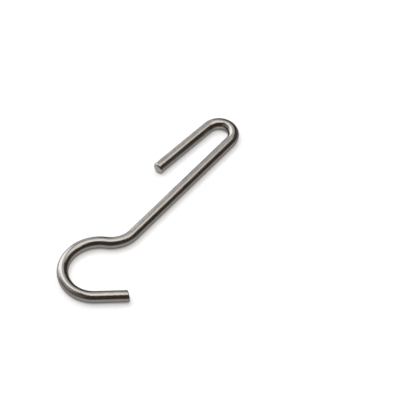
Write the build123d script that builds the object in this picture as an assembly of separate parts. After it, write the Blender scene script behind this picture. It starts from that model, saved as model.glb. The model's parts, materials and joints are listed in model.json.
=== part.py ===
"""Utensil hook: one length of round stainless wire, bent flat into two opposed hooks.

A long narrow hook at the top drops over a rail or the flat bar of a rack. A round hook at the bottom
carries the utensil. The neck between them sets the round hook back under the shank.
The hook lies on its side as it would on a table: the wire's plane is level, +Y runs up the shank towards
the rail hook, +X points to the side that the round hook opens to, and the origin is on the table, under
the middle of the hook.
"""

import os

from build123d import *

# The wire, in millimetres
wire_diameter = 5.0

# Rail hook: the inside gap at the bend, then the free leg, its lean away from the shank and its round end
rail_gap = 7.8
rail_leg_length = 32.95
rail_leg_flare_deg = 4.0
rail_leg_end_round = 1.0

# Shank, and the neck that turns it aside; each bend is given by its inside radius
shank_length = 66.0
neck_inside_radius = 10.3
neck_turn_deg = 60.0

# Round hook: a wide bend into a slightly tighter one, then a straight tip
upper_inside_radius = 12.9
upper_turn_deg = 86.5
lower_inside_radius = 11.1
lower_turn_deg = 104.5
tip_length = 14.2

# The shear leaves the tip's end a little off square, shorter on the side that faces the hook's inside
tip_cut_slant_deg = 12.5
tip_end_round = 0.5
cut_overrun = 3.0

# Worked out from the sizes above
wire_radius = wire_diameter / 2
rail_inside_radius = rail_gap / 2
rail_turn_deg = 180.0 - rail_leg_flare_deg
shank_heading_deg = -90.0
leg_heading_deg = shank_heading_deg + rail_turn_deg


def run_on(previous, length):
    """A straight run that carries on from the end of the previous piece of the centreline."""
    start = previous @ 1
    return Line(start, start + (previous % 1) * length)


def bend(previous, inside_radius, turn_deg):
    """A tangent bend from the end of the previous piece; a positive turn is anticlockwise from above."""
    return JernArc(previous @ 1, previous % 1, inside_radius + wire_radius, turn_deg)


def bent_wire():
    """The whole wire, swept along its centreline from the rail leg's end to the tip, both ends cut square.

    Returns the solid with the tip's end point and direction.
    """
    leg = PolarLine((0, 0), rail_leg_length, leg_heading_deg)
    rail_bend = bend(leg, rail_inside_radius, -rail_turn_deg)
    shank = run_on(rail_bend, shank_length)
    neck = bend(shank, neck_inside_radius, -neck_turn_deg)
    upper_bend = bend(neck, upper_inside_radius, upper_turn_deg)
    lower_bend = bend(upper_bend, lower_inside_radius, lower_turn_deg)
    tip = run_on(lower_bend, tip_length)
    uncut_tip = run_on(lower_bend, tip_length + cut_overrun)
    centreline = leg + rail_bend + shank + neck + upper_bend + lower_bend + uncut_tip
    section = Plane(origin=leg @ 0, z_dir=leg % 0) * Circle(wire_radius)
    return sweep(section, path=centreline), tip @ 1, tip % 1


def tip_shear(tip_end, tip_direction):
    """What the shear takes off beyond the tip's end, on a plane turned off square about the vertical."""
    cut_plane = Plane(origin=tip_end, z_dir=tip_direction.rotate(Axis.Z, tip_cut_slant_deg))
    across = 2 * wire_diameter
    beyond = cut_overrun + wire_diameter
    return cut_plane * Box(across, across, beyond, align=(Align.CENTER, Align.CENTER, Align.MIN))


def utensil_hook():
    """The finished hook, lying on its side with the origin under its middle."""
    wire, tip_end, tip_direction = bent_wire()
    wire -= tip_shear(tip_end, tip_direction)
    leg_end = wire.faces().filter_by(GeomType.PLANE).sort_by(Axis.Y)[-1]
    wire = fillet(leg_end.edges(), rail_leg_end_round)
    sheared_end = wire.faces().filter_by(GeomType.PLANE).sort_by(Axis.Y)[0]
    wire = fillet(sheared_end.edges(), tip_end_round)
    box = wire.bounding_box()
    return Pos(-box.center().X, -box.center().Y, -box.min.Z) * wire


os.makedirs("parts", exist_ok=True)
hook = utensil_hook()
hook.label = "wire_hook"
export_step(hook, "parts/wire_hook.step")
size = hook.bounding_box().size
print(f"wire_hook {size.X:.2f} x {size.Y:.2f} x {size.Z:.2f} mm, volume {hook.volume:.0f} mm3")
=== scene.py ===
# %% [markdown]
# # A utensil hook, bent from one stainless wire
# The real hook starts as round wire that was pulled through a die, which leaves fine lines along it. A
# length is sheared off, its ends are tumbled until their edges are round, and a bending machine turns it
# flat into a long narrow hook for the rail and a round hook for the utensil.
# This lesson goes the same way: a straight blank first, then a bender made of Geometry Nodes, then the
# finish of drawn and of sheared steel, then the studio. The CAD model is the frame that everything is
# measured against. The wire's thickness is read from it, less the few thousandths of a millimetre that
# tumbling wears off, so that the dressed hook never stands out of the solid.

# %% Load the frame
import json
import math

import bmesh
import bpy
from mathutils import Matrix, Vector
from mathutils.bvhtree import BVHTree


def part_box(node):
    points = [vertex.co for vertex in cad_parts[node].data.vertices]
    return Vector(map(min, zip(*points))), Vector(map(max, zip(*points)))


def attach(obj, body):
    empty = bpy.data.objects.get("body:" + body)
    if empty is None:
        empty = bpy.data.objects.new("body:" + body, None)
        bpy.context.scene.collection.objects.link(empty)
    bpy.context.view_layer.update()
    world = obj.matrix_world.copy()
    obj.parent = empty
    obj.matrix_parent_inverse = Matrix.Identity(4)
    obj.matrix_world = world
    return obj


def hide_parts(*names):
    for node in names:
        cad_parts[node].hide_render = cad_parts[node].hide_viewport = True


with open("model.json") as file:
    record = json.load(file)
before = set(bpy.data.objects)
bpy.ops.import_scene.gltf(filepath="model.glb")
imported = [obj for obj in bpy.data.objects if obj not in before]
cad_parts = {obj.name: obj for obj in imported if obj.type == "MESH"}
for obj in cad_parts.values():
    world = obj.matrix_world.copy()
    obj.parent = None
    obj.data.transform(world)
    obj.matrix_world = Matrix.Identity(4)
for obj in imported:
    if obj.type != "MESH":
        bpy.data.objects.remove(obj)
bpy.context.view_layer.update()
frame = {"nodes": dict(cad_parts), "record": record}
MM = 0.001
TUMBLED_OFF = 0.004 * MM
wire_low, wire_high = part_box("wire_hook")
wire_radius = (wire_high.z - wire_low.z) / 2 - TUMBLED_OFF
hook_length = wire_high.y - wire_low.y
print(f"frame: wire of {2 * wire_radius / MM:.2f} mm, hook {hook_length / MM:.1f} mm long")

# %% [markdown]
# ## The bend table
# A wire bender reads a table: feed so much wire, turn it so far round a pin, feed again. The whole shape
# of this hook is in that table, so it is written down once and everything else follows from it. Lengths
# are in metres, and each bend has the radius of the wire's middle. A turn to the left is positive, seen
# from above.

# %% The bend table
leg_length = 32.95 * MM
rail_inside_radius = 3.9 * MM
rail_turn = math.radians(-176.0)
shank_length = 66.0 * MM
neck_inside_radius = 10.3 * MM
neck_turn = math.radians(-60.0)
upper_inside_radius = 12.9 * MM
upper_turn = math.radians(86.5)
lower_inside_radius = 11.1 * MM
lower_turn = math.radians(104.5)
tip_length = 14.2 * MM

straights = {"leg": leg_length, "shank": shank_length, "tip": tip_length}
bends = {
    "rail": (rail_inside_radius + wire_radius, rail_turn),
    "neck": (neck_inside_radius + wire_radius, neck_turn),
    "upper": (upper_inside_radius + wire_radius, upper_turn),
    "lower": (lower_inside_radius + wire_radius, lower_turn),
}
wire_length = sum(straights.values()) + sum(radius * abs(turn) for radius, turn in bends.values())
print(f"table: {len(straights)} straights and {len(bends)} bends take {wire_length / MM:.1f} mm of wire")

# %% [markdown]
# ## Where the wire starts
# The table says nothing about where the hook lies. The record gives the rail seat, a point on the inside of
# the rail bend with an axis to the bend's middle. Stepping from there back along the leg gives the end that
# is fed in first.

# %% The leg's end
shank_heading = math.radians(-90.0)
leg_heading = shank_heading - rail_turn
rail_seat = next(mount for mount in frame["record"]["mounts"] if mount["name"] == "rail_seat")
rail_bend_middle = Vector(rail_seat["pos_m"]) + rail_inside_radius * Vector(rail_seat["axis"])
rail_bend_radius = bends["rail"][0]
left_of_leg = Vector((-math.sin(leg_heading), math.cos(leg_heading), 0))
along_leg = Vector((math.cos(leg_heading), math.sin(leg_heading), 0))
leg_end = rail_bend_middle + rail_bend_radius * left_of_leg - leg_length * along_leg
leg_end_mm = [round(part / MM, 2) for part in leg_end]
print(f"leg: starts at {leg_end_mm} mm, heading {math.degrees(leg_heading):.0f} degrees")

# %% [markdown]
# ## The straight blank
# A cylinder from the Add menu would do for the side, but not for the ends. The leg's end was tumbled well
# round, the tip's end less so, both faces have a faint crown, and the shear left the tip's face leaning. So
# the blank is built ring by ring, as a lathe would turn it. It lies along X, with Y and Z across the wire.
# A lean is given as a slope: how far the face drops back for each step out from the middle, which differs
# round the wire.

# %% The blank's ends
leg_end_round = 1.0 * MM
tip_end_round = 0.5 * MM
tip_slope = math.tan(math.radians(12.5))
face_crown = 0.04 * MM
AROUND = 80
FACE_RINGS = 7
EDGE_RINGS = 8
END_RINGS = FACE_RINGS + EDGE_RINGS


def end_point(ring, rounding, slope):
    """How far a ring of an end stands out from the cut, and its radius, from the face's middle outwards."""
    lean = math.atan(slope)
    core = wire_radius - rounding
    if ring <= FACE_RINGS:
        share = ring / FACE_RINGS
        radius = share * (core + rounding * math.sin(lean))
        return face_crown * (1 - share ** 2) - slope * radius, radius
    angle = lean + (math.pi / 2 - lean) * (ring - FACE_RINGS) / EDGE_RINGS
    middle = -slope * core - rounding / math.cos(lean)
    return middle + rounding * math.cos(angle), core + rounding * math.sin(angle)


longest, shortest = (end_point(END_RINGS, tip_end_round, side * tip_slope)[0] for side in (-1, 1))
print(f"tip: the rounding meets the side {-longest / MM:.2f} to {-shortest / MM:.2f} mm short of the cut")

# %% [markdown]
# ## From end to end
# Between the two ends the rings are spread evenly along the side. Each point is worked out from its ring
# and its angle round the wire, and the ring's number says which of the three it belongs to.

# %% The blank's points
RING_STEP = 0.4 * MM
side_rings = round(wire_length / RING_STEP)
last_ring = 2 * END_RINGS + side_rings


def blank_point(ring, angle):
    """The place of one point of the blank, by its ring and its angle from the wire's left side."""
    slope = math.cos(angle) * tip_slope
    side_start = -end_point(END_RINGS, leg_end_round, 0)[0]
    side_end = wire_length + end_point(END_RINGS, tip_end_round, slope)[0]
    radius = wire_radius
    if ring <= END_RINGS:
        out, radius = end_point(ring, leg_end_round, 0)
        along = -out
    elif ring < END_RINGS + side_rings:
        along = side_start + (side_end - side_start) * (ring - END_RINGS) / side_rings
    else:
        out, radius = end_point(last_ring - ring, tip_end_round, slope)
        along = wire_length + out
    return along, radius * math.cos(angle), radius * math.sin(angle)


print(f"blank: {last_ring - 1} rings of {AROUND} points")

# %% [markdown]
# ## A map for baking
# A finish made of nodes can be baked to pictures later, and that needs a map without stretch. The side of a
# wire is a strip 12 times as long as it is wide, which would waste most of a square, so it is cut in three
# and the rows are stacked. The two end faces sit beside them. The map has the name OFBake.

# %% Places on the map
MAP_ROWS = 3
MAP_GAP = 0.6 * MM
girth = 2 * math.pi * wire_radius
row_length = wire_length / MAP_ROWS
map_side = row_length + 3 * MAP_GAP + 2 * wire_radius


def side_place(along, turn, row):
    """Map place of a point on the side, a turn of 0 to 1 round the wire."""
    x = MAP_GAP + along - row * row_length
    y = MAP_GAP + row * (girth + MAP_GAP) + turn * girth
    return x / map_side, y / map_side


def face_place(point, end):
    """Map place of a point on an end face; end is 0 for the leg and 1 for the tip."""
    x = 2 * MAP_GAP + row_length + wire_radius + point.y
    y = MAP_GAP + wire_radius + end * (2 * wire_radius + MAP_GAP) + point.z
    return x / map_side, y / map_side


print(f"map: {MAP_ROWS} rows of {row_length / MM:.1f} mm on a square of {map_side / MM:.1f} mm")

# %% [markdown]
# ## Faces with a mark and a place
# The sheared ends get a finish of their own, so the mesh has to know which faces the blade left: the end
# face and half of its rounding. Unwrapping the finished hook would have to guess at seams and angles. Here
# each face is marked and put on the map at the moment it is made, while its ring is known.

# %% Faces of the blank
CUT_RINGS = FACE_RINGS + EDGE_RINGS // 2


def add_face(mesh, corners, places, cut):
    """One smooth face, marked as cut or not, with its corners' places on the map."""
    face = mesh.faces.new(corners)
    face.smooth = True
    face[mesh.faces.layers.bool["sheared_end"]] = cut
    for loop, place in zip(face.loops, places):
        loop[mesh.loops.layers.uv["OFBake"]].uv = place


def add_band(mesh, grid, ring):
    """The faces between a ring and the next one."""
    end = int(ring > END_RINGS)
    cut = min(ring, last_ring - 1 - ring) < CUT_RINGS
    for k in range(AROUND):
        steps = ((ring, k), (ring, k + 1), (ring + 1, k + 1), (ring + 1, k))
        corners = [grid[i][step % AROUND] for i, step in steps]
        middle = sum(corner.co.x for corner in corners) / len(corners)
        row = min(MAP_ROWS - 1, max(0, int(middle / row_length)))
        if cut:
            places = [face_place(corner.co, end) for corner in corners]
        else:
            places = [side_place(corner.co.x, step / AROUND, row)
                      for corner, (_, step) in zip(corners, steps)]
        add_face(mesh, corners, places, cut)


print(f"faces: the outer {CUT_RINGS} bands of each end count as cut")

# %% [markdown]
# ## The blank's mesh
# Now the skin is joined up: bands of four-sided faces from one end to the other, and a fan of triangles
# round the middle of each end face. It comes out closed, which a printer or a simulator needs, and Blender
# turns all faces outwards.

# %% The blank's mesh
def make_blank():
    """The straight wire as a mesh, with a mark on the faces that the shear left and the map for baking."""
    mesh = bmesh.new()
    mesh.faces.layers.bool.new("sheared_end")
    mesh.loops.layers.uv.new("OFBake")
    angles = [2 * math.pi * k / AROUND for k in range(AROUND)]
    grid = {ring: [mesh.verts.new(blank_point(ring, angle)) for angle in angles]
            for ring in range(1, last_ring)}
    for ring in range(1, last_ring - 1):
        add_band(mesh, grid, ring)
    for end, ring, beside in ((0, 0, 1), (1, last_ring, last_ring - 1)):
        middle = mesh.verts.new(blank_point(ring, 0))
        for k in range(AROUND):
            corners = (middle, grid[beside][k], grid[beside][(k + 1) % AROUND])
            places = [face_place(corner.co, end) for corner in corners]
            add_face(mesh, corners, places, True)
    bmesh.ops.recalc_face_normals(mesh, faces=mesh.faces)
    data = bpy.data.meshes.new("drawn_wire")
    mesh.to_mesh(data)
    mesh.free()
    return data


blank = bpy.data.objects.new("wire_blank", make_blank())
bpy.context.scene.collection.objects.link(blank)
print(f"blank: {len(blank.data.polygons)} faces")

# %% [markdown]
# ## Node helpers
# Every tree in this lesson is built in the script. Small helpers keep that readable. One adds a node and
# fills or links its inputs, and the next ones use it for a step of arithmetic on numbers or on vectors.

# %% Node helpers
def add_node(tree, kind, inputs=None, **settings):
    """A new node; inputs maps a socket's name or number to a value or to an output that is linked to it."""
    node = tree.nodes.new(kind)
    for name, value in settings.items():
        setattr(node, name, value)
    for key, value in (inputs or {}).items():
        if isinstance(value, bpy.types.NodeSocket):
            tree.links.new(value, node.inputs[key])
        else:
            node.inputs[key].default_value = value
    return node


def maths(tree, operation, *values):
    """One Math node; gives its output."""
    return add_node(tree, "ShaderNodeMath", dict(enumerate(values)), operation=operation).outputs[0]


def vector_maths(tree, operation, *values):
    """One Vector Math node; gives its output."""
    return add_node(tree, "ShaderNodeVectorMath", dict(enumerate(values)), operation=operation).outputs[0]


def scaled(tree, vector, factor):
    """A vector times a number."""
    inputs = {0: vector, "Scale": factor}
    return add_node(tree, "ShaderNodeVectorMath", inputs, operation="SCALE").outputs[0]


def join_xyz(tree, **parts):
    """A vector from its X, Y and Z; a part that is left out is 0."""
    return add_node(tree, "ShaderNodeCombineXYZ", parts).outputs[0]


print("helpers: add_node, maths, vector_maths, scaled, join_xyz")

# %% [markdown]
# ## Groups with named sockets
# A node group is a tool with labelled plugs. It could be put together by hand in the node editor, but here
# one helper starts a group with its named sockets, and another links the results to its outputs.

# %% Group helpers
def new_group(name, kind, inputs, outputs):
    """An empty node group with named sockets; gives the tree, its inputs by name and its output node."""
    tree = bpy.data.node_groups.new(name, kind)
    for way, sockets in (("INPUT", inputs), ("OUTPUT", outputs)):
        for socket_name, socket_kind in sockets.items():
            tree.interface.new_socket(socket_name, in_out=way, socket_type="NodeSocket" + socket_kind)
    entry = tree.nodes.new("NodeGroupInput")
    leave = tree.nodes.new("NodeGroupOutput")
    return tree, entry.outputs, leave


def deliver(tree, leave, **results):
    """Links results to a group's outputs; an underscore in a name stands for a space."""
    for name, socket in results.items():
        tree.links.new(socket, leave.inputs[name.replace("_", " ")])


print("helpers: new_group, deliver")

# %% [markdown]
# ## Two tools of the bender
# A bender only does two things, feed and turn, so there are two small node groups. Both carry the same
# facts on: the point and heading that the middle of the wire has reached at each place along it, the length
# already used, and the heading at its end. A Simple Deform modifier could bend the blank once, but not four
# times at exact radii, and a curve with a bevel would lose the straight coordinates that the drawn lines
# need. A formula does both exactly.

# %% Feed: a straight run
RUN_FACTS = {"Point": "Vector", "Heading": "Float", "Used": "Float", "End Heading": "Float",
             "Strain": "Float"}


def make_feed():
    """Feeds wire straight on: the point moves along the heading by as much of the run as lies behind it."""
    inputs = {"Along": "Float", **RUN_FACTS, "Length": "Float", "Run In": "Float", "Run Out": "Float"}
    tree, given, leave = new_group("Feed wire", "GeometryNodeTree", inputs, RUN_FACTS)
    into = maths(tree, "SUBTRACT", given["Along"], given["Used"])
    most = maths(tree, "ADD", given["Length"], given["Run Out"])
    least = maths(tree, "MULTIPLY", given["Run In"], -1.0)
    fed = maths(tree, "MAXIMUM", maths(tree, "MINIMUM", into, most), least)
    x = maths(tree, "MULTIPLY", fed, maths(tree, "COSINE", given["End Heading"]))
    y = maths(tree, "MULTIPLY", fed, maths(tree, "SINE", given["End Heading"]))
    point = vector_maths(tree, "ADD", given["Point"], join_xyz(tree, X=x, Y=y))
    used = maths(tree, "ADD", given["Used"], given["Length"])
    deliver(tree, leave, Point=point, Heading=given["Heading"], Used=used,
            End_Heading=given["End Heading"], Strain=given["Strain"])
    return tree


feed_wire = make_feed()
print(f"{feed_wire.name}: {len(feed_wire.nodes)} nodes")

# %% [markdown]
# ## Round a pin
# The second tool does the same on an arc. On the machine, the skin outside the bend is stretched and the
# skin inside it is pressed against the pin, so this tool also works out that strain: the distance from the
# middle over the bend's radius, with a hump along the bend that fades it in and out. The finish reads it
# later. A mask painted by hand would have to be painted again for each change in the table.

# %% Turn: a bend round a pin
HUMP_HEIGHT = 0.25  # share times (1 - share) at its highest


def make_turn():
    """Turns wire round a pin: the point runs along an arc, and the skin is stretched or squeezed."""
    inputs = {"Along": "Float", **RUN_FACTS, "Across": "Float", "Radius": "Float", "Turn": "Float"}
    tree, given, leave = new_group("Turn wire", "GeometryNodeTree", inputs, RUN_FACTS)
    side = maths(tree, "SIGN", given["Turn"])
    length = maths(tree, "MULTIPLY", given["Radius"], maths(tree, "ABSOLUTE", given["Turn"]))
    into = maths(tree, "DIVIDE", maths(tree, "SUBTRACT", given["Along"], given["Used"]), length)
    share = maths(tree, "MINIMUM", maths(tree, "MAXIMUM", into, 0.0), 1.0)
    turned = maths(tree, "MULTIPLY", share, given["Turn"])
    start = given["End Heading"]
    now = maths(tree, "ADD", start, turned)
    reach = maths(tree, "MULTIPLY", given["Radius"], side)
    x = maths(tree, "SUBTRACT", maths(tree, "SINE", now), maths(tree, "SINE", start))
    y = maths(tree, "SUBTRACT", maths(tree, "COSINE", start), maths(tree, "COSINE", now))
    point = vector_maths(tree, "ADD", given["Point"], scaled(tree, join_xyz(tree, X=x, Y=y), reach))
    hump = maths(tree, "MULTIPLY", share, maths(tree, "SUBTRACT", 1.0, share))
    fade = maths(tree, "SQRT", maths(tree, "DIVIDE", hump, HUMP_HEIGHT))
    inside = maths(tree, "DIVIDE", maths(tree, "MULTIPLY", given["Across"], side), given["Radius"])
    squeeze = maths(tree, "MULTIPLY", inside, fade)
    deliver(tree, leave, Point=point, Heading=maths(tree, "ADD", given["Heading"], turned),
            Used=maths(tree, "ADD", given["Used"], length),
            End_Heading=maths(tree, "ADD", start, given["Turn"]),
            Strain=maths(tree, "SUBTRACT", given["Strain"], squeeze))
    return tree


turn_wire = make_turn()
print(f"{turn_wire.name}: {len(turn_wire.nodes)} nodes")

# %% [markdown]
# ## The tools in a row
# The machine works through its table from top to bottom, so the two tools are chained in the table's order,
# each one starting where the last one stopped. The first and the last straight run on a little past their
# ends, because the crown and the leaning cut stand out there.

# %% Chain the tools
RUN_ORDER = ("leg", "rail", "shank", "neck", "upper", "lower", "tip")
RUN_PAST_END = {"leg": "Run In", "tip": "Run Out"}


def chain_runs(tree, given, along, across):
    """Chains the two tools in the table's order and gives the last one's facts."""
    heading = given["Leg Heading"]
    facts = {"Point": given["Leg End"], "Heading": heading, "End Heading": heading}
    for run in RUN_ORDER:
        name = run.title()
        if run in straights:
            tool = feed_wire
            sizes = {"Length": given[f"{name} Length"]}
        else:
            tool = turn_wire
            sizes = {"Radius": given[f"{name} Radius"], "Turn": given[f"{name} Turn"], "Across": across}
        if run in RUN_PAST_END:
            sizes[RUN_PAST_END[run]] = given["Wire Radius"]
        inputs = {"Along": along, **facts, **sizes}
        node = add_node(tree, "GeometryNodeGroup", inputs, node_tree=tool, label=run)
        facts = {fact: node.outputs[fact] for fact in RUN_FACTS}
    return facts


print("runs:", ", ".join(RUN_ORDER))

# %% [markdown]
# ## The bender
# The bend table becomes the bender's named inputs, so another hook is only another row of numbers. Each
# point of the blank keeps its place across the wire and is carried to the bent middle line. Before it
# moves, its straight place is stored as an attribute, because the finish is drawn on the straight wire and
# bends with it.

# %% The bender's tree
def store_on_points(tree, geometry, name, kind, value):
    """Keeps a value on each point under a name; gives the geometry."""
    inputs = {"Geometry": geometry, "Name": name, "Value": value}
    node = add_node(tree, "GeometryNodeStoreNamedAttribute", inputs, data_type=kind, domain="POINT")
    return node.outputs[0]


def carry_points(tree, facts, across, above):
    """Where each point goes: its place across the wire, seen from the bent middle line."""
    sine = maths(tree, "SINE", facts["Heading"])
    left = join_xyz(tree, X=maths(tree, "MULTIPLY", sine, -1.0), Y=maths(tree, "COSINE", facts["Heading"]))
    offset = vector_maths(tree, "ADD", scaled(tree, left, across), join_xyz(tree, Z=above))
    return vector_maths(tree, "ADD", facts["Point"], offset)


def make_bender():
    """The Geometry Nodes tree that bends a straight blank by the table in its inputs."""
    inputs = {"Geometry": "Geometry", "Wire Radius": "Float", "Leg End": "Vector", "Leg Heading": "Float"}
    for run in RUN_ORDER:
        wanted = ("Length",) if run in straights else ("Radius", "Turn")
        inputs.update({f"{run.title()} {fact}": "Float" for fact in wanted})
    inputs.update({"Side Material": "Material", "End Material": "Material"})
    tree, given, leave = new_group("Wire bender", "GeometryNodeTree", inputs, {"Geometry": "Geometry"})
    place = tree.nodes.new("GeometryNodeInputPosition").outputs[0]
    along, across, above = add_node(tree, "ShaderNodeSeparateXYZ", {0: place}).outputs
    facts = chain_runs(tree, given, along, across)
    target = carry_points(tree, facts, across, above)
    kept = store_on_points(tree, given["Geometry"], "straight_wire", "FLOAT_VECTOR", place)
    strained = store_on_points(tree, kept, "bend_strain", "FLOAT", facts["Strain"])
    bent = add_node(tree, "GeometryNodeSetPosition", {"Geometry": strained, "Position": target}).outputs[0]
    real = add_node(tree, "GeometryNodeRealizeInstances", {"Geometry": bent}).outputs[0]
    all_over = {"Geometry": real, "Material": given["Side Material"]}
    sides = add_node(tree, "GeometryNodeSetMaterial", all_over).outputs[0]
    ends = add_node(tree, "GeometryNodeInputNamedAttribute", {"Name": "sheared_end"}, data_type="BOOLEAN")
    ends_only = {"Geometry": sides, "Selection": ends.outputs[0], "Material": given["End Material"]}
    deliver(tree, leave, Geometry=add_node(tree, "GeometryNodeSetMaterial", ends_only).outputs[0])
    return tree


wire_bender = make_bender()
print(f"{wire_bender.name}: {len(wire_bender.nodes)} nodes")

# %% [markdown]
# ## Bending the blank
# The table goes into the modifier by each socket's identifier, then the evaluated result is made a plain
# mesh and the modifier goes. The new mesh is held against the CAD solid to see that the bends came out
# where they should.

# %% Bend it
drawn_stainless = bpy.data.materials.new("drawn_stainless")
sheared_stainless = bpy.data.materials.new("sheared_stainless")


def bend_blank():
    """Runs the blank through the bender and gives the bent wire as a plain mesh object."""
    modifier = blank.modifiers.new("bender", "NODES")
    modifier.node_group = wire_bender
    values = {"Wire Radius": wire_radius, "Leg End": leg_end, "Leg Heading": leg_heading,
              "Side Material": drawn_stainless, "End Material": sheared_stainless}
    values.update({f"{run.title()} Length": length for run, length in straights.items()})
    for run, (radius, turn) in bends.items():
        values[f"{run.title()} Radius"] = radius
        values[f"{run.title()} Turn"] = turn
    for item in wire_bender.interface.items_tree:
        if item.in_out == "INPUT" and item.name in values:
            modifier[item.identifier] = values[item.name]
    depsgraph = bpy.context.evaluated_depsgraph_get()
    mesh = bpy.data.meshes.new_from_object(blank.evaluated_get(depsgraph), depsgraph=depsgraph)
    bpy.data.objects.remove(blank)
    bent = bpy.data.objects.new("drawn_wire_hook", mesh)
    bpy.context.scene.collection.objects.link(bent)
    return bent


hook = bend_blank()
solid = frame["nodes"]["wire_hook"].data
solid_tree = BVHTree.FromPolygons([v.co for v in solid.vertices], [p.vertices for p in solid.polygons])
nearest = [solid_tree.find_nearest(v.co) for v in hook.data.vertices]
farthest = max(distance for *_, distance in nearest)
print(f"hook: {len(hook.data.polygons)} faces, at most {farthest / MM:.3f} mm from the solid")

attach(hook, "root")
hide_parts("wire_hook")

# %% [markdown]
# ## Lines that a tool leaves
# A die scratches the wire lengthways as it is drawn, and a shear blade scores the cut across its face. Both
# are the same thing: noise pulled long in one direction. A Wave texture would look ruled and a brushed
# picture would need a file, so one node group stretches noise along its own X. It puts out fine lines for
# the bump, broad streaks for the shine, and a few deep scores. Each kind of grain is written down as its
# grains per millimetre along X, Y and Z, the noise's detail and roughness, and the range that counts.

# %% Tool lines
fine_lines = {"stretch": (1.0, 7.0, 7.0), "detail": 2.0, "rough": 0.6, "low": 0.3, "high": 0.7}
broad_streaks = {"stretch": (0.6, 1.7, 1.7), "detail": 2.0, "rough": 0.5, "low": 0.32, "high": 0.68}
deep_scores = {"stretch": (1.6, 4.6, 4.6), "detail": 0.0, "rough": 0.5, "low": 0.68, "high": 0.8}


def spread(tree, value, low, high):
    """Takes a range smoothly to 0 to 1."""
    inputs = {"Value": value, "From Min": low, "From Max": high}
    return add_node(tree, "ShaderNodeMapRange", inputs, interpolation_type="SMOOTHSTEP").outputs[0]


def grain(tree, place, stretch, detail, rough, low, high):
    """Noise on a place in millimetres, its range taken to 0 to 1."""
    stretched = vector_maths(tree, "MULTIPLY", place, stretch)
    inputs = {"Vector": stretched, "Scale": 1.0, "Detail": detail, "Roughness": rough}
    noise = add_node(tree, "ShaderNodeTexNoise", inputs, noise_dimensions="3D")
    return spread(tree, noise.outputs[0], low, high)


def make_tool_lines():
    """Lines along X of a place in millimetres: fine lines, broad streaks and a few deep scores."""
    tree, given, leave = new_group("Tool lines", "ShaderNodeTree", {"Place": "Vector", "Run": "Float"},
                                   {"Fine": "Float", "Streak": "Float", "Score": "Float"})
    run = join_xyz(tree, X=given["Run"], Y=1.0, Z=1.0)
    place = vector_maths(tree, "MULTIPLY", given["Place"], run)
    deliver(tree, leave, Fine=grain(tree, place, **fine_lines), Streak=grain(tree, place, **broad_streaks),
            Score=grain(tree, place, **deep_scores))
    return tree


tool_lines = make_tool_lines()
print(f"{tool_lines.name}: {len(tool_lines.nodes)} nodes")

# %% [markdown]
# ## Uneven shine
# After bending, hooks are tumbled or pickled in a basket, and the shine comes out a little cloudy: patches
# a few millimetres long that are duller or clearer, and tiny pits. Painting this by hand would not survive
# a change of shape, so a second group makes it from noise at two sizes and gives the cloud and the pits
# apart.

# %% Tumbled cloud
cloud_patches = {"stretch": (0.6, 1.0, 1.0), "detail": 3.0, "rough": 0.55, "low": 0.3, "high": 0.7}
tiny_pits = {"stretch": (7.0, 7.0, 7.0), "detail": 1.0, "rough": 0.5, "low": 0.66, "high": 0.78}


def make_tumbled_cloud():
    """Cloudy patches and tiny pits on a place in millimetres, each 0 to 1."""
    tree, given, leave = new_group("Tumbled cloud", "ShaderNodeTree", {"Place": "Vector", "Size": "Float"},
                                   {"Cloud": "Float", "Pit": "Float"})
    place = scaled(tree, given["Place"], maths(tree, "DIVIDE", 1.0, given["Size"]))
    deliver(tree, leave, Cloud=grain(tree, place, **cloud_patches), Pit=grain(tree, place, **tiny_pits))
    return tree


tumbled_cloud = make_tumbled_cloud()
print(f"{tumbled_cloud.name}: {len(tumbled_cloud.nodes)} nodes")

# %% [markdown]
# ## Rub marks
# Hooks knock against each other in the box, so the steel carries a few short bright rubs at odd angles. A
# third group turns the place by an angle, draws long thin noise there and keeps only the strongest of it
# inside scattered patches.

# %% Rub marks
rub_hairs = {"stretch": (0.9, 8.0, 1.3), "detail": 0.0, "rough": 0.5, "low": 0.66, "high": 0.76}
rub_patches = {"stretch": (0.22, 0.5, 0.5), "detail": 1.0, "rough": 0.5, "low": 0.5, "high": 0.62}


def make_rub_marks():
    """Short bright rubs at an angle, in scattered patches, 0 to 1."""
    tree, given, leave = new_group("Rub marks", "ShaderNodeTree", {"Place": "Vector", "Angle": "Float"},
                                   {"Rub": "Float"})
    inputs = {"Vector": given["Place"], "Angle": given["Angle"]}
    turned = add_node(tree, "ShaderNodeVectorRotate", inputs, rotation_type="Z_AXIS").outputs[0]
    hairs = grain(tree, turned, **rub_hairs)
    patches = grain(tree, given["Place"], **rub_patches)
    deliver(tree, leave, Rub=maths(tree, "MULTIPLY", hairs, patches))
    return tree


rub_marks = make_rub_marks()
print(f"{rub_marks.name}: {len(rub_marks.nodes)} nodes")

# %% [markdown]
# ## Bare steel
# Side and ends are one steel, so both materials start and end alike. Steel has no colour but its shine, so
# Metallic is 1, the Base Color is the grey of its mirror image, and a low edge tint keeps the rim of the
# wire from flashing white. Both read the straight wire's own coordinates, in millimetres, so that their
# marks follow every bend.

# %% Bare steel
steel_grey = (0.265, 0.255, 0.245)
steel_edge_tint = (0.4, 0.4, 0.4)


def start_steel(material):
    """Readies a material for bare steel; gives its tree, shader inputs and the place in millimetres."""
    material.use_nodes = True
    tree = material.node_tree
    shader = tree.nodes["Principled BSDF"].inputs
    shader["Metallic"].default_value = 1.0
    shader["Specular Tint"].default_value = (*steel_edge_tint, 1.0)
    straight = add_node(tree, "ShaderNodeAttribute", attribute_name="straight_wire").outputs["Vector"]
    return tree, shader, scaled(tree, straight, 1 / MM)


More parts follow.
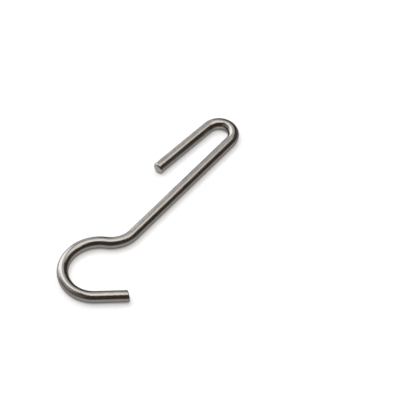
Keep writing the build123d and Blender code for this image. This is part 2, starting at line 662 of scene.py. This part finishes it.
def end_steel(tree, shader, colour, roughness, height, relief):
    """Links a finish to its shader; the height becomes a bump of a given relief."""
    bump = add_node(tree, "ShaderNodeBump", {"Height": height, "Strength": 1.0, "Distance": relief})
    links = {"Base Color": colour, "Roughness": roughness, "Normal": bump.outputs[0]}
    for name, socket in links.items():
        tree.links.new(socket, shader[name])


print(f"steel: mirrors {steel_grey[1]:.0%} of the light that meets it")

# %% [markdown]
# ## Marks on the steel
# The three groups are placed in each material with its own values, and their outputs are gathered by name.
# A finish is then a list of weights: so much of the streaks, so much of the cloud. Frames full of Math
# nodes would say the same, but weights by name are easier to read and to change.

# %% Marks on the steel
def gather_marks(tree, place, line_place, run, cloud_size, rub_angle):
    """The marks by name: the cloud on one place, the tool lines and the rubs on another."""
    placed = ((tool_lines, {"Place": line_place, "Run": run}),
              (tumbled_cloud, {"Place": place, "Size": cloud_size}),
              (rub_marks, {"Place": line_place, "Angle": rub_angle}))
    nodes = [add_node(tree, "ShaderNodeGroup", inputs, node_tree=group) for group, inputs in placed]
    return {mark.name: mark for node in nodes for mark in node.outputs}


def blend(tree, marks, weights, base=0.0):
    """A base plus the sum of the marks, each with its weight."""
    total = base
    for name, weight in weights.items():
        total = maths(tree, "MULTIPLY_ADD", marks[name], weight, total)
    return total


def mix_colours(tree, share, first, second):
    """A colour that goes from the first to the second as the share goes from 0 to 1."""
    inputs = {"Factor": share, "A": first, "B": second}
    return add_node(tree, "ShaderNodeMix", inputs, data_type="RGBA").outputs["Result"]


def shade(tree, grey, levels, share):
    """A steel colour between a darker and a lighter level of a grey."""
    dark, light = ((*(channel * level for channel in grey), 1.0) for level in levels)
    return mix_colours(tree, share, dark, light)


print("helpers: gather_marks, blend, mix_colours, shade")

# %% [markdown]
# ## Drawn stainless
# The side of the wire is as the die left it: a satin grey with a warm cast, drawn lines along it, clouded
# by tumbling. Where it was bent, the outside of the bend is stretched and turns a little matt, and the
# inside is pressed on the pin and turns a little clearer. A brushed picture could be wrapped round it, but
# nodes keep sharp at any distance. The variation goes mostly into Roughness and the bump, and less into the
# colour.

# %% Drawn stainless
drawn_marks = {"run": 0.06, "cloud_size": 2.6, "rub_angle": math.radians(38.0)}
drawn_levels = (0.84, 1.16)
drawn_tone = {"Streak": 0.3, "Fine": 0.2, "Cloud": 0.4, "Rub": 0.3}
drawn_roughness = 0.175
drawn_dullness = {"Streak": 0.035, "Cloud": 0.05, "Pit": 0.06, "Rub": -0.05, "Strain": 0.16}
drawn_relief = 0.006 * MM
drawn_height = {"Fine": 0.5, "Streak": 0.8, "Score": -0.7, "Pit": -0.35, "Cloud": 0.5}


def finish_drawn():
    """Fills the drawn_stainless material."""
    tree, shader, place = start_steel(drawn_stainless)
    marks = gather_marks(tree, place, place, **drawn_marks)
    marks["Strain"] = add_node(tree, "ShaderNodeAttribute", attribute_name="bend_strain").outputs["Fac"]
    colour = shade(tree, steel_grey, drawn_levels, blend(tree, marks, drawn_tone))
    roughness = blend(tree, marks, drawn_dullness, drawn_roughness)
    end_steel(tree, shader, colour, roughness, blend(tree, marks, drawn_height), drawn_relief)
    return tree


drawn_tree = finish_drawn()
print(f"{drawn_stainless.name}: {len(drawn_tree.nodes)} nodes")

# %% [markdown]
# ## Sheared stainless
# The two ends were cut by a blade, so they are rougher and paler than the side, scored across by the shear,
# and clearer again round the rim, where the tumbling wore them. It is the same steel, so it takes the same
# groups with other values: the lines are turned to run across the face, and the rim is found from the
# distance to the wire's middle.

# %% Sheared stainless
sheared_marks = {"run": 0.35, "cloud_size": 0.9, "rub_angle": math.radians(20.0)}
sheared_grey = (0.44, 0.425, 0.41)
sheared_levels = (0.82, 1.12)
tumbled_grey = (0.36, 0.347, 0.334)
tumbled_levels = (0.9, 1.15)
sheared_tone = {"Streak": 0.35, "Fine": 0.25, "Cloud": 0.35, "Rub": 0.2}
sheared_roughness = 0.34
sheared_dullness = {"Streak": 0.06, "Cloud": 0.06, "Pit": 0.08, "Rim": -0.14}
sheared_relief = 0.008 * MM
sheared_height = {"Fine": 0.8, "Streak": 1.0, "Score": -1.0, "Pit": -0.5}
rim_start = 0.55 * wire_radius
rim_full = 0.95 * wire_radius


def finish_sheared():
    """Fills the sheared_stainless material."""
    tree, shader, place = start_steel(sheared_stainless)
    along, across, above = add_node(tree, "ShaderNodeSeparateXYZ", {0: place}).outputs
    on_face = join_xyz(tree, X=above, Y=across, Z=along)
    marks = gather_marks(tree, place, on_face, **sheared_marks)
    squares = [maths(tree, "MULTIPLY", part, part) for part in (across, above)]
    from_middle = maths(tree, "SQRT", maths(tree, "ADD", *squares))
    marks["Rim"] = spread(tree, from_middle, rim_start / MM, rim_full / MM)
    tone = blend(tree, marks, sheared_tone)
    face_colour = shade(tree, sheared_grey, sheared_levels, tone)
    rim_colour = shade(tree, tumbled_grey, tumbled_levels, tone)
    colour = mix_colours(tree, marks["Rim"], face_colour, rim_colour)
    roughness = blend(tree, marks, sheared_dullness, sheared_roughness)
    end_steel(tree, shader, colour, roughness, blend(tree, marks, sheared_height), sheared_relief)
    return tree


sheared_tree = finish_sheared()
print(f"{sheared_stainless.name}: {len(sheared_tree.nodes)} nodes")

# %% [markdown]
# ## The camera
# The hook was seen from about 52 degrees above the floor, through a long lens from just under a metre away.
# Places in the studio are named from the camera: azimuth 0 is straight away from it, and 90 degrees is to
# its right.

# %% The camera
CAMERA_AZIMUTH = math.radians(39.02)
CAMERA_ELEVATION = math.radians(51.79)
FOCAL_PIXELS = 2082.9
IMAGE_PIXELS = 400
camera_target = Vector((8.486, 15.282, 2.5)) * MM
camera_distance = 900.25 * MM


def direction(azimuth, elevation):
    """Unit vector to a place in the studio, as the camera names it."""
    right = Vector((math.cos(CAMERA_AZIMUTH), math.sin(CAMERA_AZIMUTH), 0))
    away = Vector((-math.sin(CAMERA_AZIMUTH), math.cos(CAMERA_AZIMUTH), 0))
    level = right * math.sin(azimuth) + away * math.cos(azimuth)
    return level * math.cos(elevation) + Vector((0, 0, math.sin(elevation)))


camera = bpy.data.objects.new("camera", bpy.data.cameras.new("camera"))
bpy.context.scene.collection.objects.link(camera)
camera.data.lens = FOCAL_PIXELS / IMAGE_PIXELS * camera.data.sensor_width
toward_camera = direction(math.pi, CAMERA_ELEVATION)
camera.location = camera_target + camera_distance * toward_camera
camera.rotation_euler = toward_camera.to_track_quat("Z", "Y").to_euler()
bpy.context.scene.camera = camera
bpy.context.scene.view_settings.view_transform = "Standard"
print(f"camera: {camera.data.lens:.0f} mm lens at {camera_distance:.2f} m")

# %% [markdown]
# ## The floor
# The hook lies on a wide level sheet that runs out of every view, so no edge or corner shows.

# %% The floor
FLOOR_HALF_WIDTH = 20.0


def make_floor():
    """A wide level sheet at the height that the hook lies on."""
    mesh = bmesh.new()
    bmesh.ops.create_grid(mesh, x_segments=1, y_segments=1, size=FLOOR_HALF_WIDTH)
    sheet = bpy.data.objects.new("floor", bpy.data.meshes.new("floor"))
    mesh.to_mesh(sheet.data)
    mesh.free()
    bpy.context.scene.collection.objects.link(sheet)
    return sheet


floor = make_floor()
print(f"floor: {2 * FLOOR_HALF_WIDTH:.0f} m wide")

# %% [markdown]
# ## White acrylic
# A photographer lays small metal goods on white acrylic. A plain white Diffuse would go grey wherever the
# light is short, so part of its white is a glow that only the camera, mirrors and glass see. The glow fades
# in the narrow gap under the wire, where no light gets in, and the diffuse part keeps the soft shadow.
# Acrylic has a skin: seen flat along the floor, as the wire sees it, it mirrors the dark room, and a
# Fresnel mix gives that.

# %% White acrylic
GAP_REACH = 0.9 * MM
GAP_SAMPLES = 16
ACRYLIC_IOR = 1.49
SKIN_ROUGHNESS = 0.1
skin_colour = (1.0, 1.0, 1.0, 1.0)
acrylic_white = (0.42, 0.42, 0.42, 1.0)
acrylic_glow = 0.59


def make_acrylic():
    """White acrylic: a diffuse body with a glow for what looks at it, under a clear skin."""
    material = bpy.data.materials.new("white_acrylic")
    material.use_nodes = True
    tree = material.node_tree
    tree.nodes.clear()
    rays = add_node(tree, "ShaderNodeLightPath").outputs
    looked_at = maths(tree, "MAXIMUM", rays["Is Camera Ray"], rays["Is Glossy Ray"])
    looked_at = maths(tree, "MAXIMUM", looked_at, rays["Is Transmission Ray"])
    gap = add_node(tree, "ShaderNodeAmbientOcclusion", {"Distance": GAP_REACH}, samples=GAP_SAMPLES)
    in_the_open = maths(tree, "MULTIPLY", looked_at, gap.outputs["AO"])
    strength = maths(tree, "MULTIPLY", in_the_open, acrylic_glow)
    body = add_node(tree, "ShaderNodeBsdfDiffuse", {"Color": acrylic_white})
    glow = add_node(tree, "ShaderNodeEmission", {"Strength": strength})
    white = add_node(tree, "ShaderNodeAddShader", {0: body.outputs[0], 1: glow.outputs[0]})
    skin = add_node(tree, "ShaderNodeBsdfGlossy", {"Color": skin_colour, "Roughness": SKIN_ROUGHNESS})
    share = add_node(tree, "ShaderNodeFresnel", {"IOR": ACRYLIC_IOR})
    layers = {0: share.outputs[0], 1: white.outputs[0], 2: skin.outputs[0]}
    acrylic = add_node(tree, "ShaderNodeMixShader", layers)
    add_node(tree, "ShaderNodeOutputMaterial", {"Surface": acrylic.outputs[0]})
    return material


floor.data.materials.append(make_acrylic())
print(f"floor: laid in {floor.data.materials[0].name}")

# %% [markdown]
# ## The softboxes overhead
# Bare steel has hardly any colour of its own: what it shows is the room. So the lights are placed by what
# the wire shows. A wide softbox overhead draws the light band along the top, and a dimmer one beside it
# carries the band on to the right. One big lamp would give the band no fall. Each is named by the span it
# covers as the hook sees it, and by the colour that the steel shows of it.

# %% The softboxes
OVERHEAD_HEIGHT = 2.4
# name: shares of the height, across from and to, away from and to, and the colour that the steel shows
overhead_lights = {
    "overhead_softbox": (-0.20, 0.16, -0.22, 0.50, (0.755, 0.705, 0.655)),
    "overhead_edge": (0.16, 0.62, -0.22, 0.52, (0.655, 0.608, 0.562)),
}


def shown_as(colour):
    """Radiance that the steel mirrors as a given colour."""
    return tuple(shown / own for shown, own in zip(colour, steel_grey))


def softbox(name, place, width, height, radiance):
    """A rectangular lamp of even brightness, hidden from the camera; it still has to be turned."""
    lamp = bpy.data.lights.new(name, "AREA")
    lamp.shape = "RECTANGLE"
    lamp.size, lamp.size_y = width, height
    lamp.energy = math.pi * width * height
    lamp.color = radiance
    box = bpy.data.objects.new(name, lamp)
    bpy.context.scene.collection.objects.link(box)
    box.location = place
    box.visible_camera = False
    return box


def hang_overhead(name, across_from, across_to, away_from, away_to, shown):
    """A level lamp over the hook that only mirrors see."""
    right = direction(math.pi / 2, 0)
    away = direction(0, 0)
    middle = right * (across_from + across_to) / 2 + away * (away_from + away_to) / 2
    place = OVERHEAD_HEIGHT * (middle + Vector((0, 0, 1)))
    width = OVERHEAD_HEIGHT * (across_to - across_from)
    depth = OVERHEAD_HEIGHT * (away_to - away_from)
    box = softbox(name, place, width, depth, shown_as(shown))
    box.rotation_euler = (0, 0, CAMERA_AZIMUTH)
    box.visible_diffuse = False
    return box


for name, facts in overhead_lights.items():
    box = hang_overhead(name, *facts)
    print(f"{name}: {box.data.size:.2f} x {box.data.size_y:.2f} m")

# %% [markdown]
# ## The window and the cards
# A tall window on the left draws the bright streak on the round hook, and pale cards behind it fill the far
# edge of the wire. In front and on the right the room stays dark, which draws the dark line. An environment
# picture would do all this at once, but lamps can be moved one by one. No two overlap, because lamps don't
# hide one another.

# %% The window and the cards
CARD_DISTANCE = 2.0
# name: azimuth from and to, elevation from and to (degrees), and the colour that the steel shows
upright_lights = {
    "window_softbox": (-58, -24, 2, 72, (0.940, 0.925, 0.900)),
    "window_side": (-74, -58, 2, 70, (0.445, 0.430, 0.405)),
    "left_card": (-113, -74, 22, 75, (0.145, 0.136, 0.124)),
    "left_low_card": (-113, -74, 2, 22, (0.080, 0.075, 0.068)),
    "low_back_card": (-24, -5, 2, 22, (0.460, 0.440, 0.430)),
    "middle_back_card": (-24, 0, 22, 43, (0.185, 0.175, 0.166)),
    "high_back_card": (-24, 0, 43, 63, (0.335, 0.320, 0.305)),
    "right_back_card": (0, 24, 33, 63, (0.345, 0.335, 0.320)),
    "front_left_card": (-150, -113, 2, 50, (0.050, 0.047, 0.042)),
}


def stand_upright(name, azimuth_from, azimuth_to, elevation_from, elevation_to, shown):
    """An upright lamp that only mirrors see, over a span of azimuth and of elevation."""
    azimuth = math.radians(azimuth_from + azimuth_to) / 2
    width = 2 * CARD_DISTANCE * math.tan(math.radians(azimuth_to - azimuth_from) / 2)
    low, high = (CARD_DISTANCE * math.tan(math.radians(e)) for e in (elevation_from, elevation_to))
    outward = direction(azimuth, 0)
    place = CARD_DISTANCE * outward + Vector((0, 0, (low + high) / 2))
    box = softbox(name, place, width, high - low, shown_as(shown))
    box.rotation_euler = outward.to_track_quat("Z", "Y").to_euler()
    box.visible_diffuse = False
    return box


for name, facts in upright_lights.items():
    box = stand_upright(name, *facts)
    print(f"{name}: {box.data.size:.2f} x {box.data.size_y:.2f} m")

# %% [markdown]
# ## The lights for the sheet
# Two softboxes light the sheet and cast the short soft shadow in front of the wire: a key high behind the
# hook on the left, and a weaker one on the right. A photographer would flag the other lights off the sheet,
# so that their shadows don't muddy it, and here they are hidden from diffuse surfaces. These two in turn
# are hidden from mirrors, because what the steel shows is already set.

# %% The lights for the sheet
SHEET_LIGHT_DISTANCE = 2.0
# name: azimuth, elevation and span (degrees), and the radiance
sheet_lights = {
    "key_softbox": (-55, 66, 38, 6.4),
    "side_softbox": (45, 50, 34, 2.9),
}


def aim_at_sheet(name, azimuth, elevation, span, radiance):
    """A square lamp that faces the hook and covers a span as the hook sees it."""
    outward = direction(math.radians(azimuth), math.radians(elevation))
    side = 2 * SHEET_LIGHT_DISTANCE * math.tan(math.radians(span) / 2)
    box = softbox(name, SHEET_LIGHT_DISTANCE * outward, side, side, (radiance, radiance, radiance))
    box.rotation_euler = outward.to_track_quat("Z", "Y").to_euler()
    box.visible_glossy = False
    return box


for name, facts in sheet_lights.items():
    box = aim_at_sheet(name, *facts)
    print(f"{name}: {box.data.size:.2f} m square")

# %% [markdown]
# ## The room
# The rest of the studio is dark and a little warm. It is a plain world colour, low enough to leave the dark
# line in the steel and not so low that the line goes black.

# %% The room
room_shown = (0.030, 0.021, 0.015)
room = bpy.data.worlds.new("dark_room")
bpy.context.scene.world = room
room.use_nodes = True
room.node_tree.nodes["Background"].inputs["Color"].default_value = (*shown_as(room_shown), 1.0)
print(f"room: {[round(channel, 3) for channel in shown_as(room_shown)]}")
